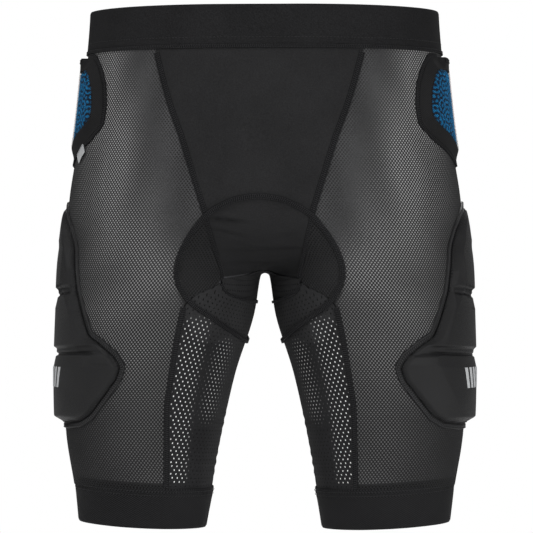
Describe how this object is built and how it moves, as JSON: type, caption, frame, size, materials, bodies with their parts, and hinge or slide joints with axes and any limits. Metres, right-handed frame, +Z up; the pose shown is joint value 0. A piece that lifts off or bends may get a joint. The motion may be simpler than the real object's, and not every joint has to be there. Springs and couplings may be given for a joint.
{
  "type": "padded impact shorts",
  "caption": "Close-fitting knit shorts with moulded thigh pads, drawn-out hip and tailbone foam pads in mesh pockets, a seat pad and gripper cuffs.",
  "frame": {"origin": "centre of the waist opening, level with the top edge of the waistband", "axes": "+Z up towards the waist, front of the shorts faces -Y, the wearer's left is +X"},
  "size_m": [0.4232, 0.2569, 0.5103],
  "materials": {
    "elastic": "matte",
    "cuff_knit": "matte",
    "seam_thread": "matte",
    "stretch_knit": "matte",
    "hex_mesh": "matte",
    "perforated_knit": "matte",
    "silicone": "satin",
    "blue_foam": "matte",
    "pocket_mesh": "matte",
    "print": "satin",
    "moulded_pad": "satin",
    "seat_foam": "matte",
    "seat_fabric": "matte",
    "label_satin": "satin",
    "care_satin": "satin"
  },
  "bodies": {
    "shorts": {"waistband": "elastic", "waistband_backing": "elastic", "waistband_join_tape": "seam_thread", "waistband_seam": "seam_thread", "front_panel": "stretch_knit", "back_panel": "stretch_knit", "gusset": "stretch_knit", "left_mesh_panel": "hex_mesh", "right_mesh_panel": "hex_mesh", "left_inner_thigh_panel": "perforated_knit", "right_inner_thigh_panel": "perforated_knit", "left_front_seam": "seam_thread", "right_front_seam": "seam_thread", "left_back_seam": "seam_thread", "right_back_seam": "seam_thread", "left_front_thigh_seam": "seam_thread", "right_front_thigh_seam": "seam_thread", "left_back_thigh_seam": "seam_thread", "right_back_thigh_seam": "seam_thread", "left_gusset_seam": "seam_thread", "right_gusset_seam": "seam_thread", "left_cuff": "cuff_knit", "right_cuff": "cuff_knit", "left_cuff_seam": "seam_thread", "right_cuff_seam": "seam_thread", "left_gripper": "silicone", "right_gripper": "silicone", "left_hip_pocket_cover": "pocket_mesh", "right_hip_pocket_cover": "pocket_mesh", "left_hip_pocket_binding": "seam_thread", "right_hip_pocket_binding": "seam_thread", "left_thigh_pad": "moulded_pad", "right_thigh_pad": "moulded_pad", "left_thigh_pad_flange": "moulded_pad", "right_thigh_pad_flange": "moulded_pad", "left_thigh_pad_print": "print", "right_thigh_pad_print": "print", "tailbone_pocket_cover": "pocket_mesh", "tailbone_pocket_binding": "seam_thread", "seat_pad_foam": "seat_foam", "seat_pad_cover": "seat_fabric", "seat_pad_seam": "seam_thread", "care_label": "care_satin"},
    "left_hip_pad_body": {"left_hip_pad": "blue_foam"},
    "right_hip_pad_body": {"right_hip_pad": "blue_foam"},
    "tailbone_pad_body": {"tailbone_pad": "blue_foam"},
    "side_label_body": {"side_label": "label_satin"}
  },
  "joints": [
    {"name": "left_hip_pad_slide", "type": "slide", "parent": "shorts", "child": "left_hip_pad_body", "axis": [-0.083, 0, 0.9965], "range_m": [0, 0.17], "deforming": ["left_hip_pocket_cover"]},
    {"name": "right_hip_pad_slide", "type": "slide", "parent": "shorts", "child": "right_hip_pad_body", "axis": [0.083, 0, 0.9965], "range_m": [0, 0.17], "deforming": ["right_hip_pocket_cover"]},
    {"name": "tailbone_pad_slide", "type": "slide", "parent": "shorts", "child": "tailbone_pad_body", "axis": [0, -0.083, 0.9965], "range_m": [0, 0.185], "deforming": ["tailbone_pocket_cover"]},
    {"name": "side_label_flip", "type": "hinge", "parent": "shorts", "child": "side_label_body", "pos_m": [-0.1799, -0.04144, -0.13672], "axis": [-0.4053, 0.6564, -0.6363], "range_deg": [0, 60]}
  ]
}
